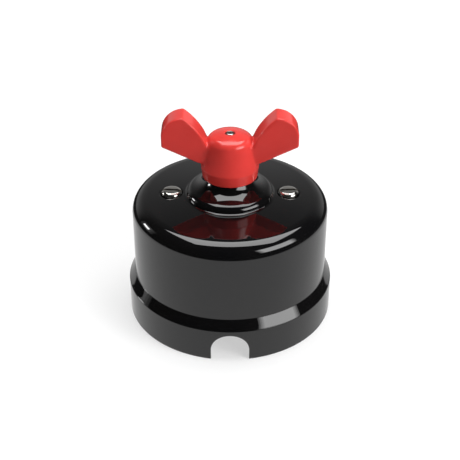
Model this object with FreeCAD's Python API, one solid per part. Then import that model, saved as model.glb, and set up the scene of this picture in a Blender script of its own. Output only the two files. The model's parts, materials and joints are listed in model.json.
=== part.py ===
import FreeCAD, Part
import math
import os

# Surface rotary switch: porcelain cover and base, butterfly knob, knife contact inside.
# Millimetres. The wall is the plane z = 0, Z points out of it, and the cable notch faces -Y.

# Cover, outside
flange_radius = 35.0
flange_height = 11.6
flange_edge = 0.5
chamfer_rise = 3.25
body_radius = 32.8
body_height = 42.45
shoulder_radius = 4.8

# Cover, inside
cover_wall = 4.0
cover_roof = 5.0
inner_fillet = 4.0
collar_hollow_radius = 8.0
collar_hollow_rise = 3.5

# Collar turned on the cover
top_rise = 0.4
plinth_radius = 15.36
plinth_rise = 1.15
plinth_edge = 0.15
plinth_foot = 0.45
ledge_width = 0.62
ledge_rise = 0.265
bead_radius = 2.5
bead_foot_angle = 2.0
bead_crown_angle = 77.0
ogee_radius = 10.2
ogee_end_angle = 56.0
cove_radius = 5.0
neck_rise = 7.35

# Cable notch in the flange
notch_width = 12.5
notch_roof = 1.9
notch_edge = 0.5

# Cover screws
cover_screw_head = 6.9
cover_screw_head_rise = 2.3
cover_screw_dome = 0.3
cover_screw_slot = 1.5
cover_screw_slot_depth = 1.2
left_slot_turn = -6.0
right_slot_turn = 3.0
seat_clearance = 0.35
seat_depth = 0.9
seat_edge = 0.2
seat_collar_gap = 0.34
pillar_thread = 4.0
thread_engagement = 4.5

# Knob
knob_lip_foot_radius = 9.2
knob_lip_radius = 9.6
knob_lip_rise = 3.9
knob_lip_edge = 0.5
hub_shoulder_radius = 7.5
hub_shoulder_rise = 12.85
hub_flare_bow = 0.2
hub_crown_radius = 2.4
hub_dome_angle = 12.0
wing_span = 44.4
wing_thickness = 8.0
wing_edge = 0.5
wing_corner = 0.3
wing_root_rise = 5.5
wing_root_reach = 8.4
wing_tip_rise = 12.2
wing_side_rise = 16.6
wing_rise = 22.55
wing_peak_reach = 14.95
wing_tip_bow = 1.65
wing_saddle_bow = 0.8
wing_saddle_rise = 12.8
wing_saddle_reach = 7.5
wing_saddle_blend = 1.2

# Knob screw and insert
knob_screw_head = 2.7
knob_screw_head_rise = 1.2
knob_screw_slot = 0.55
knob_screw_slot_depth = 0.6
knob_screw_thread = 2.0
knob_screw_length = 7.0
knob_recess_diameter = 3.3
knob_recess_depth = 1.4
knob_web = 2.8
insert_wall = 1.6
insert_setback = 0.5

# Base
base_thickness = 8.0
base_edge = 0.8
base_gap = 0.8
base_slot_depth = 11.0
base_slot_ease = 1.5
fixing_hole = 4.6
fixing_counterbore = 9.5
fixing_counterbore_depth = 2.5
base_screw_head = 7.0
base_screw_head_rise = 2.2
base_screw_sink = 3.0

# Bearings and bridge
base_bush_radius = 4.0
base_bush_depth = 5.0
base_bush_flange_radius = 6.0
base_bush_flange = 1.2
bridge_thickness = 2.0
bridge_margin = 0.9
bridge_hub_radius = 8.5
bridge_bush_wall = 1.2
bridge_bush_flange_radius = 5.4
bridge_bush_flange = 0.8
bridge_bush_lip = 0.6
pillar_across = 8.0
stud_length = 6.0
upper_pillar_length = 6.6

# Shaft and rotor, stacked from the bridge downwards
shaft_radius = 3.0
pivot_radius = 2.0
pivot_end_gap = 0.4
shaft_flat_across = 4.8
shaft_chamfer = 0.3
ring_thickness = 0.8
ring_groove_depth = 0.5
ring_radius = 5.0
ring_mouth = 3.6
cam_height = 4.5
cam_corner_radius = 5.0
drum_radius = 8.0
drum_edge = 0.5
lower_drum_height = 3.3
upper_drum_height = 3.8
blade_thickness = 1.0
blade_width = 6.0
blade_hub_radius = 6.5
washer_thickness = 0.6
washer_radius = 5.5

# Contacts and terminals
contact_angle = 45.0
blade_rest_angle = 135.0
terminal_inset = 7.8
terminal_size = 8.0
terminal_height = 9.0
terminal_chamfer = 0.4
wire_hole = 3.4
wire_hole_lift = 5.0
terminal_screw_thread = 3.4
terminal_screw_head = 6.0
terminal_screw_head_rise = 2.0
terminal_screw_slot = 0.9
terminal_screw_lift = 1.0
terminal_fixing_thread = 3.0
terminal_fixing_head = 5.6
terminal_fixing_head_rise = 1.9
terminal_fixing_sink = 2.6
terminal_fixing_grip = 2.8
sheet_thickness = 0.8
sheet_bend = 0.4
contact_width = 7.0
contact_root_gap = 1.8
blade_tip_gap = 0.6
drum_gap = 1.2
blade_side_clearance = 0.05
rivet_radius = 1.0
rivet_head_radius = 1.8
rivet_head_rise = 0.7
rivet_lift = 5.0
spring_riser_lift = 2.6

# Index springs
index_spring_thickness = 0.4
index_spring_width = 3.8
index_spring_end = 3.4
spring_screw_thread = 2.0
spring_screw_grip = 1.8
spring_screw_head = 3.6
spring_screw_head_rise = 1.2
spring_screw_slot = 0.6

# Fits
hole_clearance = 0.25
thread_clearance = 0.03
press_clearance = 0.02
running_clearance = 0.04
cam_clearance = 0.03
axial_play = 0.2
pillar_gap = 0.25
knob_gap = 0.3
neck_bore_clearance = 0.4

# Places worked out from the sizes above
AXIS = FreeCAD.Vector(0, 0, 1)
AXIS_X = FreeCAD.Vector(1, 0, 0)
AXIS_Y = FreeCAD.Vector(0, 1, 0)
CENTRE = FreeCAD.Vector(0, 0, 0)
cover_inner_radius = body_radius - cover_wall
roof_under = body_height - cover_roof
neck_top = body_height + neck_rise
notch_height = flange_height - notch_roof
knob_foot = neck_top + knob_gap
base_radius = cover_inner_radius - base_gap
seat_radius = cover_screw_head / 2 + seat_clearance
pillar_x = plinth_radius + seat_collar_gap + seat_radius
pillar_sides = (-1, 1)

shoulder_z = base_thickness + base_bush_flange
pillar_top = roof_under - pillar_gap
bridge_top = pillar_top - upper_pillar_length
bridge_z = bridge_top - bridge_thickness
bridge_bush_z = bridge_z - bridge_bush_flange
washer_z = bridge_bush_z - axial_play - washer_thickness
upper_drum_z = washer_z - upper_drum_height
blade_z = upper_drum_z - blade_thickness
lower_drum_z = blade_z - lower_drum_height
cam_z = lower_drum_z - cam_height
ring_z = cam_z - ring_thickness
spring_screw_z = cam_z + cam_height / 2

flare_chord = math.hypot(knob_lip_radius - hub_shoulder_radius, hub_shoulder_rise - knob_lip_rise)
flare_lean = math.atan2(knob_lip_radius - hub_shoulder_radius, hub_shoulder_rise - knob_lip_rise)
crown_start = math.degrees(flare_lean - 2 * math.atan(2 * hub_flare_bow / flare_chord))
crown_centre = (
    hub_shoulder_radius - hub_crown_radius * math.cos(math.radians(crown_start)),
    knob_foot + hub_shoulder_rise - hub_crown_radius * math.sin(math.radians(crown_start)),
)
crown_end = 90 - hub_dome_angle
dome_foot_radius = crown_centre[0] + hub_crown_radius * math.cos(math.radians(crown_end))
dome_foot_z = crown_centre[1] + hub_crown_radius * math.sin(math.radians(crown_end))
dome_radius = dome_foot_radius / math.cos(math.radians(crown_end))
dome_centre = (0, dome_foot_z - dome_radius * math.sin(math.radians(crown_end)))
hub_top = dome_centre[1] + dome_radius
insert_foot = knob_foot + insert_setback
recess_floor = hub_top - knob_recess_depth
shaft_top = recess_floor - knob_web

terminal_radius = cover_inner_radius - terminal_inset
terminal_inner = terminal_radius - terminal_size / 2
riser_outer = terminal_inner - contact_root_gap
jaw_riser = riser_outer - 1.5 * sheet_thickness
spring_riser = riser_outer - 0.5 * sheet_thickness
blade_reach = riser_outer - 2 * sheet_thickness - blade_tip_gap
leaf_start = drum_radius + drum_gap


def point(radius, z):
    """A point of a profile in the XZ plane."""
    return FreeCAD.Vector(radius, 0, z)


def on_arc(centre, radius, degrees):
    """The point of a circle in the XZ plane at an angle from +X towards +Z."""
    angle = math.radians(degrees)
    return point(centre[0] + radius * math.cos(angle), centre[1] + radius * math.sin(angle))


def outline(start, *steps):
    """A closed face from a start point and steps, each an end point or a (middle, end) pair of an arc."""
    edges = []
    here = start
    for step in steps + (start,):
        if isinstance(step, tuple):
            edges.append(Part.Arc(here, step[0], step[1]).toShape())
            here = step[1]
        elif step.distanceToPoint(here) > 1e-7:
            edges.append(Part.LineSegment(here, step).toShape())
            here = step
    return Part.Face(Part.Wire(edges))


def turned(face):
    """The solid that a profile makes when it is turned about the shaft axis."""
    return face.revolve(CENTRE, AXIS, 360)


def rod(radius, low, high, x=0.0, y=0.0):
    """A round bar along Z."""
    return Part.makeCylinder(radius, high - low, FreeCAD.Vector(x, y, low), AXIS)


def ring(inner, outer, low, high):
    """A flat ring about the shaft axis."""
    return rod(outer, low, high).cut(rod(inner, low, high))


def flatted_rod(radius, across, low, high):
    """A round bar along the shaft axis with two flats that face +Y and -Y."""
    slab = Part.makeBox(4 * radius, across, high - low, FreeCAD.Vector(-2 * radius, -across / 2, low))
    return rod(radius, low, high).common(slab)


def shaft_bore(low, high):
    """The flatted hole that fits the shaft."""
    return flatted_rod(
        shaft_radius + running_clearance, shaft_flat_across + 2 * running_clearance, low, high
    )


def hexagon(across, low, high, x):
    """A hexagon bar along Z whose flats face +Y and -Y."""
    corner = across / math.sqrt(3)
    corners = []
    for step in range(7):
        angle = math.radians(60 * step)
        corners.append(FreeCAD.Vector(x + corner * math.cos(angle), corner * math.sin(angle), low))
    return Part.Face(Part.makePolygon(corners)).extrude(FreeCAD.Vector(0, 0, high - low))


def slotted_screw(head, head_rise, dome, slot, slot_depth, thread, length):
    """A slotted screw with the seat of its head at z = 0 and its shank below it."""
    body = turned(
        outline(
            point(0, -length),
            point(thread / 2, -length),
            point(thread / 2, 0),
            point(head / 2, 0),
            point(head / 2, head_rise),
            (point(head / 4, head_rise + 0.75 * dome), point(0, head_rise + dome)),
        )
    )
    top = head_rise + dome
    cutter = Part.makeBox(2 * head, slot, slot_depth, FreeCAD.Vector(-head, -slot / 2, top - slot_depth))
    return body.cut(cutter)


def moved(shape, x, y, z, turn=0.0):
    """A copy turned about Z and set down at a place."""
    copy = shape.copy()
    copy.rotate(CENTRE, AXIS, turn)
    copy.translate(FreeCAD.Vector(x, y, z))
    return copy


def flipped(shape):
    """A copy turned head down."""
    copy = shape.copy()
    copy.rotate(CENTRE, AXIS_X, 180)
    return copy


def bent_strip(path, width):
    """A strip of sheet bent in the XZ plane along the middle line of its thickness, centred on y = 0."""
    half = sheet_thickness / 2
    radius = sheet_bend + half
    sides = {1: [], -1: []}
    for place, (x, z) in enumerate(path):
        here = point(x, z)
        before = here - point(*path[place - 1]) if place > 0 else None
        after = point(*path[place + 1]) - here if place + 1 < len(path) else None
        for direction in (before, after):
            if direction is not None:
                direction.normalize()
        for side in sides:
            if before is None or after is None:
                normal = AXIS_Y.cross(before if after is None else after) * side
                sides[side].append((here + normal * half,))
                continue
            turn = AXIS_Y.cross(before).dot(after)
            lean = 1 if turn > 0 else -1
            tangent = radius * math.tan(before.getAngle(after) / 2)
            hub = here - before * tangent + AXIS_Y.cross(before) * (lean * radius)
            reach = radius - lean * side * half
            toward = here - hub
            toward.normalize()
            first = here - before * tangent + AXIS_Y.cross(before) * (side * half)
            last = here + after * tangent + AXIS_Y.cross(after) * (side * half)
            sides[side].append((first, hub + toward * reach, last))
    steps = []
    for bend in sides[1]:
        steps.append(bend[0])
        if len(bend) == 3:
            steps.append((bend[1], bend[2]))
    for bend in reversed(sides[-1]):
        steps.append(bend[-1])
        if len(bend) == 3:
            steps.append((bend[1], bend[0]))
    strip = outline(*steps).extrude(FreeCAD.Vector(0, width, 0))
    strip.translate(FreeCAD.Vector(0, -width / 2, 0))
    return strip


def beyond(centre, radius, angle, next_radius):
    """The centre of an arc that carries on smoothly from another one and bends the other way."""
    reach = radius + next_radius
    return (
        centre[0] + reach * math.cos(math.radians(angle)),
        centre[1] + reach * math.sin(math.radians(angle)),
    )


def within(centre, radius, angle, next_radius):
    """The centre of an arc that carries on smoothly from another one and bends the same way."""
    return beyond(centre, radius, angle, -next_radius)


def arc_to(centre, radius, start, end):
    """An outline step along an arc from one angle to another."""
    return (on_arc(centre, radius, (start + end) / 2), on_arc(centre, radius, end))


def collar_steps():
    """The outline of the cover's top, which rises to the collar, and of the collar from foot to cove."""
    rim_top = body_height + plinth_rise
    foot_centre = (plinth_radius + plinth_foot, body_height + top_rise + plinth_foot)
    shoulder_end = body_radius - shoulder_radius
    top_run = shoulder_end - foot_centre[0]
    top_curve = (top_run ** 2 + top_rise ** 2) / (2 * top_rise)
    top_turn = math.degrees(math.asin(top_run / top_curve))
    top_centre = (shoulder_end, body_height + top_curve)
    ledge_slope = math.degrees(math.atan2(ledge_rise, ledge_width))
    edge_end = 90 - ledge_slope
    edge_centre = (plinth_radius - plinth_edge, rim_top - plinth_edge)
    bead_foot = on_arc(edge_centre, plinth_edge, edge_end) + FreeCAD.Vector(-ledge_width, 0, ledge_rise)
    lean = math.radians(bead_foot_angle)
    bead_centre = (bead_foot.x - bead_radius * math.cos(lean), bead_foot.z - bead_radius * math.sin(lean))
    ogee_centre = beyond(bead_centre, bead_radius, bead_crown_angle, ogee_radius)
    ogee_end = 180 + ogee_end_angle
    cove_centre = within(ogee_centre, ogee_radius, ogee_end, cove_radius)
    cove_end = 180 + math.degrees(math.asin((cove_centre[1] - neck_top) / cove_radius))
    return [
        arc_to(top_centre, top_curve, 270, 270 - top_turn),
        arc_to(foot_centre, plinth_foot, 270, 180),
        on_arc(edge_centre, plinth_edge, 0),
        arc_to(edge_centre, plinth_edge, 0, edge_end),
        bead_foot,
        arc_to(bead_centre, bead_radius, bead_foot_angle, bead_crown_angle),
        arc_to(ogee_centre, ogee_radius, 180 + bead_crown_angle, ogee_end),
        arc_to(cove_centre, cove_radius, ogee_end, cove_end),
    ]


def notch_cutter(width, height, near, far):
    """A round-topped bar along Y on the wall plane, from y = near to y = far."""
    half = width / 2
    length = far - near
    box = Part.makeBox(width, length, height - half, FreeCAD.Vector(-half, near, 0))
    crown = Part.makeCylinder(half, length, FreeCAD.Vector(0, near, height - half), AXIS_Y)
    return box.fuse(crown)


def notch_rim(shape):
    """The edges where the cable notch leaves the outside of the flange."""
    half = notch_width / 2 + 1e-3
    rim = []
    for edge in shape.Edges:
        box = edge.BoundBox
        outside = box.YMax < -cover_inner_radius - (flange_radius - cover_inner_radius) / 2
        if outside and box.ZLength > 1e-3 and -half < box.XMin and box.XMax < half:
            rim.append(edge)
    return rim


def cover():
    """Porcelain cover: flange, body, collar and neck turned as one, with its notch and screw holes."""
    chamfer_top = flange_height + chamfer_rise
    lean = math.degrees(math.atan2(flange_radius - body_radius, chamfer_rise))
    edge_turn = (90 - lean) / 2
    edge_drop = flange_edge * math.tan(math.radians(edge_turn))
    edge_centre = (flange_radius - flange_edge, flange_height - edge_drop)
    shoulder_centre = (body_radius - shoulder_radius, body_height - shoulder_radius)
    fillet_centre = (cover_inner_radius - inner_fillet, roof_under - inner_fillet)
    neck_bore = shaft_radius + neck_bore_clearance
    shell = turned(
        outline(
            point(cover_inner_radius, 0),
            point(flange_radius, 0),
            on_arc(edge_centre, flange_edge, 0),
            (on_arc(edge_centre, flange_edge, edge_turn / 2), on_arc(edge_centre, flange_edge, edge_turn)),
            point(body_radius, chamfer_top),
            on_arc(shoulder_centre, shoulder_radius, 0),
            (on_arc(shoulder_centre, shoulder_radius, 45), on_arc(shoulder_centre, shoulder_radius, 90)),
            *collar_steps(),
            point(neck_bore, neck_top),
            point(neck_bore, roof_under + collar_hollow_rise),
            point(collar_hollow_radius, roof_under + collar_hollow_rise),
            point(collar_hollow_radius, roof_under),
            on_arc(fillet_centre, inner_fillet, 90),
            (on_arc(fillet_centre, inner_fillet, 45), on_arc(fillet_centre, inner_fillet, 0)),
        )
    )
    notch = notch_cutter(notch_width, notch_height, -2 * flange_radius, -cover_inner_radius / 2)
    shell = shell.cut(notch)
    shell = shell.makeFillet(notch_edge, notch_rim(shell))
    for side in pillar_sides:
        hole = rod(pillar_thread / 2 + hole_clearance, roof_under, body_height, side * pillar_x)
        seat = screw_seat()
        seat.translate(FreeCAD.Vector(side * pillar_x, 0, 0))
        shell = shell.cut(hole.fuse(seat))
    return shell


def screw_seat():
    """The recess that a cover screw's head sits in, its rim rounded over."""
    floor = body_height - seat_depth
    rim_centre = (seat_radius + seat_edge, body_height - seat_edge)
    return turned(
        outline(
            point(0, floor),
            point(seat_radius, floor),
            on_arc(rim_centre, seat_edge, 180),
            arc_to(rim_centre, seat_edge, 180, 90),
            point(seat_radius + seat_edge, body_height + top_rise + plinth_foot),
            point(0, body_height + top_rise + plinth_foot),
        )
    )


def cover_screws():
    """The two slotted screws that hold the cover, each slot at its own angle."""
    seat = body_height - seat_depth
    length = seat - (pillar_top - thread_engagement)
    screw = slotted_screw(
        cover_screw_head, cover_screw_head_rise, cover_screw_dome,
        cover_screw_slot, cover_screw_slot_depth, pillar_thread, length,
    )
    left = moved(screw, -pillar_x, 0, seat, left_slot_turn)
    right = moved(screw, pillar_x, 0, seat, right_slot_turn)
    return Part.makeCompound([left, right])


def bowed(first, last, bow):
    """The middle of an arc between two points of the XZ plane, bowed to the left of the way between them."""
    along = last - first
    sideways = FreeCAD.Vector(-along.z, 0, along.x)
    sideways.normalize()
    return (first + last) * 0.5 + sideways * bow


def knob_hub():
    """The turned middle of the knob: lip, flare, rounded crown and slightly domed top."""
    foot_centre = (knob_lip_foot_radius - knob_lip_edge, knob_foot + knob_lip_edge)
    ridge = point(knob_lip_radius, knob_foot + knob_lip_rise)
    shoulder = point(hub_shoulder_radius, knob_foot + hub_shoulder_rise)
    dome_foot = point(dome_foot_radius, dome_foot_z)
    return turned(
        outline(
            point(0, knob_foot),
            on_arc(foot_centre, knob_lip_edge, 270),
            (on_arc(foot_centre, knob_lip_edge, 315), on_arc(foot_centre, knob_lip_edge, 0)),
            ridge,
            (bowed(ridge, shoulder, hub_flare_bow), shoulder),
            (on_arc(crown_centre, hub_crown_radius, (crown_start + crown_end) / 2), dome_foot),
            (on_arc(dome_centre, dome_radius, (crown_end + 90) / 2), point(0, hub_top)),
        )
    )


def knob_wing():
    """The wing of the knob on the +X side, with its edges rounded."""
    reach = wing_span / 2
    root = point(wing_root_reach, knob_foot + wing_root_rise)
    tip = point(reach, knob_foot + wing_tip_rise)
    side = point(reach, knob_foot + wing_side_rise)
    peak = point(wing_peak_reach, knob_foot + wing_rise)
    saddle = point(wing_saddle_reach, knob_foot + wing_saddle_rise)
    heart = (hub_shoulder_radius - wing_edge) / 2
    slope = (tip.z - root.z) / (tip.x - root.x)
    fall = saddle - peak
    turn = 2 * math.atan(2 * wing_saddle_bow / fall.Length)
    heading = math.degrees(math.atan2(fall.z, fall.x) + turn)
    across = point(math.sin(math.radians(heading)), -math.cos(math.radians(heading)))
    blend = saddle + across * wing_saddle_blend
    blend_centre = (blend.x, blend.z)
    blend_end = on_arc(blend_centre, wing_saddle_blend, -90)
    wing = outline(
        point(heart, root.z + slope * (heart - root.x)),
        tip,
        side,
        (bowed(side, peak, -wing_tip_bow), peak),
        (bowed(peak, saddle, -wing_saddle_bow), saddle),
        (on_arc(blend_centre, wing_saddle_blend, heading / 2), blend_end),
        point(heart, blend_end.z),
    ).extrude(FreeCAD.Vector(0, wing_thickness, 0))
    wing.translate(FreeCAD.Vector(0, -wing_thickness / 2, 0))
    outer = [edge for edge in wing.Edges if edge.BoundBox.XMin > root.x]
    corners = [edge for edge in outer if edge.BoundBox.YLength > wing_edge]
    wing = wing.makeFillet(wing_corner, corners)
    rim = []
    for edge in wing.Edges:
        if edge.BoundBox.XMax > heart + 1e-3 and edge.BoundBox.YLength < wing_edge:
            rim.append(edge)
    return wing.makeFillet(wing_edge, rim)


def knob():
    """Moulded butterfly knob: hub and two wings in one piece, bored for its insert and screw."""
    right = knob_wing()
    left = right.copy()
    left.rotate(CENTRE, AXIS, 180)
    body = knob_hub().fuse([right, left])
    insert_radius = shaft_radius + insert_wall + press_clearance
    body = body.cut(rod(insert_radius, knob_foot, shaft_top))
    body = body.cut(rod(knob_recess_diameter / 2, recess_floor, hub_top))
    return body.cut(rod(knob_screw_thread / 2 + hole_clearance, shaft_top, recess_floor))


def knob_insert():
    """Brass bush moulded into the knob, with a hole that fits the flats of the shaft."""
    return rod(shaft_radius + insert_wall, insert_foot, shaft_top - press_clearance).cut(
        shaft_bore(insert_foot, shaft_top)
    )


def knob_screw():
    """Slotted screw that holds the knob on the shaft."""
    screw = slotted_screw(
        knob_screw_head, knob_screw_head_rise, 0.1 * knob_screw_head_rise,
        knob_screw_slot, knob_screw_slot_depth, knob_screw_thread, knob_screw_length,
    )
    return moved(screw, 0, 0, recess_floor)


def shaft():
    """Steel shaft: pivot at the foot, flats under the rotor and the knob, a tapped hole in its top."""
    pivot_foot = base_thickness - base_bush_depth + pivot_end_gap
    body = turned(
        outline(
            point(0, pivot_foot),
            point(pivot_radius - shaft_chamfer, pivot_foot),
            point(pivot_radius, pivot_foot + shaft_chamfer),
            point(pivot_radius, shoulder_z),
            point(shaft_radius, shoulder_z),
            point(shaft_radius, shaft_top - shaft_chamfer),
            point(shaft_radius - shaft_chamfer, shaft_top),
            point(0, shaft_top),
        )
    )
    for low, high in ((shoulder_z, washer_z), (insert_foot, shaft_top)):
        round_part = rod(2 * shaft_radius, low, high)
        body = body.cut(round_part.cut(flatted_rod(2 * shaft_radius, shaft_flat_across, low, high)))
    groove = ring(shaft_radius - ring_groove_depth, 2 * shaft_radius, ring_z, cam_z)
    tapped = rod(knob_screw_thread / 2 + thread_clearance, recess_floor - knob_screw_length - 1, shaft_top)
    return body.cut(groove).cut(tapped)


def retaining_ring():
    """Open spring ring that sits in the groove of the shaft under the cam."""
    clip = ring(shaft_radius - ring_groove_depth + press_clearance, ring_radius, ring_z, cam_z)
    mouth = Part.makeBox(
        2 * ring_radius, ring_mouth, ring_thickness, FreeCAD.Vector(0, -ring_mouth / 2, ring_z)
    )
    return clip.cut(mouth)


def square_cam():
    """Square cam with rounded corners, which the index springs hold flat at each quarter turn."""
    side = pillar_across - 2 * cam_clearance
    block = Part.makeBox(side, side, cam_height, FreeCAD.Vector(-side / 2, -side / 2, cam_z))
    block = block.common(rod(cam_corner_radius, cam_z, cam_z + cam_height))
    return block.cut(shaft_bore(cam_z, cam_z + cam_height))


def drum(low, high, free_face):
    """Moulded insulator on the shaft, rounded at the face that stands free."""
    body = rod(drum_radius, low, high)
    rim = [edge for edge in body.Edges if abs(edge.CenterOfMass.z - free_face) < 1e-3]
    return body.makeFillet(drum_edge, rim).cut(shaft_bore(low, high))


def contact_blade():
    """Brass knife blade with two arms, clamped between the drums."""
    straight = blade_reach - blade_width / 2
    arm = Part.makeBox(
        2 * straight, blade_width, blade_thickness, FreeCAD.Vector(-straight, -blade_width / 2, blade_z)
    )
    blade = arm.fuse([
        rod(blade_width / 2, blade_z, upper_drum_z, straight),
        rod(blade_width / 2, blade_z, upper_drum_z, -straight),
        rod(blade_hub_radius, blade_z, upper_drum_z),
    ]).removeSplitter()
    blade.rotate(CENTRE, AXIS, blade_rest_angle)
    return blade.cut(shaft_bore(blade_z, upper_drum_z))


def thrust_washer():
    """Steel washer between the upper drum and the bridge bush."""
    return ring(shaft_radius + running_clearance, washer_radius, washer_z, washer_z + washer_thickness)


def bridge_bush():
    """Flanged brass bearing, rolled over on top of the bridge."""
    bore = shaft_radius + running_clearance
    outer = bore + bridge_bush_wall
    return turned(
        outline(
            point(bore, bridge_bush_z),
            point(bridge_bush_flange_radius, bridge_bush_z),
            point(bridge_bush_flange_radius, bridge_z),
            point(outer, bridge_z),
            point(outer, bridge_top),
            point(outer + bridge_bush_lip, bridge_top),
            point(outer, bridge_top + bridge_bush_lip),
            point(bore, bridge_top + bridge_bush_lip),
        )
    )


def bearing_bridge():
    """Steel strap between the pillars, widened round the upper bearing."""
    end_radius = pillar_across / math.sqrt(3) + bridge_margin
    strap = Part.makeBox(
        2 * pillar_x, 2 * end_radius, bridge_thickness, FreeCAD.Vector(-pillar_x, -end_radius, bridge_z)
    )
    lobes = [rod(bridge_hub_radius, bridge_z, bridge_top)]
    bush_radius = shaft_radius + running_clearance + bridge_bush_wall
    holes = [rod(bush_radius + press_clearance, bridge_z, bridge_top)]
    for side in pillar_sides:
        lobes.append(rod(end_radius, bridge_z, bridge_top, side * pillar_x))
        holes.append(rod(pillar_thread / 2 + hole_clearance, bridge_z, bridge_top, side * pillar_x))
    return strap.fuse(lobes).removeSplitter().cut(holes)


def lower_pillars():
    """Two brass hexagon pillars from the base to the bridge, tapped at both ends and across."""
    bore = pillar_thread / 2 + thread_clearance
    cross_bore = spring_screw_thread / 2 + thread_clearance
    pillars = []
    for side in pillar_sides:
        x = side * pillar_x
        pillar = hexagon(pillar_across, base_thickness, bridge_z, x)
        holes = [
            rod(bore, base_thickness, base_thickness + thread_engagement, x),
            rod(bore, bridge_z - stud_length - pillar_gap, bridge_z, x),
        ]
        for face in (-1, 1):
            start = FreeCAD.Vector(x, face * pillar_across / 2, spring_screw_z)
            inward = FreeCAD.Vector(0, -face, 0)
            holes.append(Part.makeCylinder(cross_bore, spring_screw_grip + pillar_gap, start, inward))
        pillars.append(pillar.cut(holes))
    return Part.makeCompound(pillars)


def upper_pillars():
    """Two brass hexagon studs on the bridge that take the cover screws."""
    pillars = []
    for side in pillar_sides:
        x = side * pillar_x
        pillar = hexagon(pillar_across, bridge_top, pillar_top, x)
        stud = rod(pillar_thread / 2, bridge_z - stud_length, bridge_top, x)
        tapped_foot = pillar_top - thread_engagement - pillar_gap
        tapped = rod(pillar_thread / 2 + thread_clearance, tapped_foot, pillar_top, x)
        pillars.append(pillar.fuse(stud).cut(tapped))
    return Part.makeCompound(pillars)


def base_bush():
    """Flanged brass bearing in the base for the pivot of the shaft."""
    bore = pivot_radius + running_clearance
    low = base_thickness - base_bush_depth
    flange = rod(base_bush_flange_radius, base_thickness, shoulder_z)
    return rod(base_bush_radius, low, base_thickness).fuse(flange).cut(rod(bore, low, shoulder_z))


def around(radius, degrees):
    """The X and Y of a place on a circle about the shaft axis."""
    angle = math.radians(degrees)
    return radius * math.cos(angle), radius * math.sin(angle)


def base():
    """White porcelain base: disc with a cable slot, wall fixing holes and sunk screw holes."""
    body = rod(base_radius, 0, base_thickness)
    half = notch_width / 2 + base_slot_ease
    slot_end = -base_radius + base_slot_depth
    slot_corner = FreeCAD.Vector(-half, slot_end - 2 * base_radius, 0)
    body = body.cut(Part.makeBox(2 * half, 2 * base_radius, base_thickness, slot_corner))
    top_edges = [edge for edge in body.Edges if edge.BoundBox.ZMin > base_thickness - 1e-3]
    body = body.makeFillet(base_edge, top_edges)
    holes = [rod(base_bush_radius + press_clearance, base_thickness - base_bush_depth, base_thickness)]
    for side in pillar_sides:
        holes.append(rod(pillar_thread / 2 + hole_clearance, 0, base_thickness, side * pillar_x))
        holes.append(rod(base_screw_head / 2 + 2 * hole_clearance, 0, base_screw_sink, side * pillar_x))
    for turn in (0, 180):
        x, y = around(terminal_radius, contact_angle + turn)
        holes.append(rod(terminal_fixing_thread / 2 + hole_clearance, 0, base_thickness, x, y))
        holes.append(rod(terminal_fixing_head / 2 + 2 * hole_clearance, 0, terminal_fixing_sink, x, y))
        x, y = around(terminal_radius, contact_angle + turn + 90)
        holes.append(rod(fixing_hole / 2, 0, base_thickness, x, y))
        sink_floor = base_thickness - fixing_counterbore_depth
        holes.append(rod(fixing_counterbore / 2, sink_floor, base_thickness, x, y))
    for hole in holes:
        body = body.cut(hole)
    return body


def base_screws():
    """The two screws from below that hold the lower pillars on the base."""
    length = base_thickness - base_screw_sink + thread_engagement - pillar_gap
    screw = flipped(
        slotted_screw(
            base_screw_head, base_screw_head_rise - 0.1 * base_screw_head_rise, 0.1 * base_screw_head_rise,
            cover_screw_slot, cover_screw_slot_depth, pillar_thread, length,
        )
    )
    return Part.makeCompound([moved(screw, side * pillar_x, 0, base_screw_sink) for side in pillar_sides])


def contact_jaw():
    """Bent brass sheet along +X: foot under the terminal, riser, and the leaf below the blade."""
    foot_z = base_thickness + sheet_thickness / 2
    leaf_z = blade_z - blade_side_clearance - sheet_thickness / 2
    path = [
        (terminal_radius + terminal_size / 2, foot_z),
        (jaw_riser, foot_z),
        (jaw_riser, leaf_z),
        (leaf_start, leaf_z),
    ]
    foot_top = base_thickness + sheet_thickness
    hole = rod(terminal_fixing_thread / 2 + hole_clearance, base_thickness, foot_top, terminal_radius)
    return bent_strip(path, contact_width).cut(hole).cut(rivet_bore())


def contact_spring():
    """Bent brass sheet along +X: riser against the jaw, and the leaf above the blade."""
    leaf_z = upper_drum_z + blade_side_clearance + sheet_thickness / 2
    path = [
        (spring_riser, base_thickness + spring_riser_lift),
        (spring_riser, leaf_z),
        (leaf_start, leaf_z),
    ]
    return bent_strip(path, contact_width).cut(rivet_bore())


def rivet_bore():
    """The hole for the rivet through both risers, along X."""
    start = FreeCAD.Vector(jaw_riser - sheet_thickness, 0, base_thickness + rivet_lift)
    return Part.makeCylinder(rivet_radius + press_clearance, 3 * sheet_thickness, start, AXIS_X)


def jaw_rivet():
    """Brass rivet along +X with two low conical heads."""
    inner = riser_outer - 2 * sheet_thickness
    rise = rivet_head_rise
    profile = outline(
        point(inner - rise, 0),
        point(inner - rise, rivet_radius),
        point(inner, rivet_head_radius),
        point(inner, rivet_radius),
        point(riser_outer, rivet_radius),
        point(riser_outer, rivet_head_radius),
        point(riser_outer + rise, rivet_radius),
        point(riser_outer + rise, 0),
    )
    rivet = profile.revolve(CENTRE, AXIS_X, 360)
    rivet.translate(FreeCAD.Vector(0, 0, base_thickness + rivet_lift))
    return rivet


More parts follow.
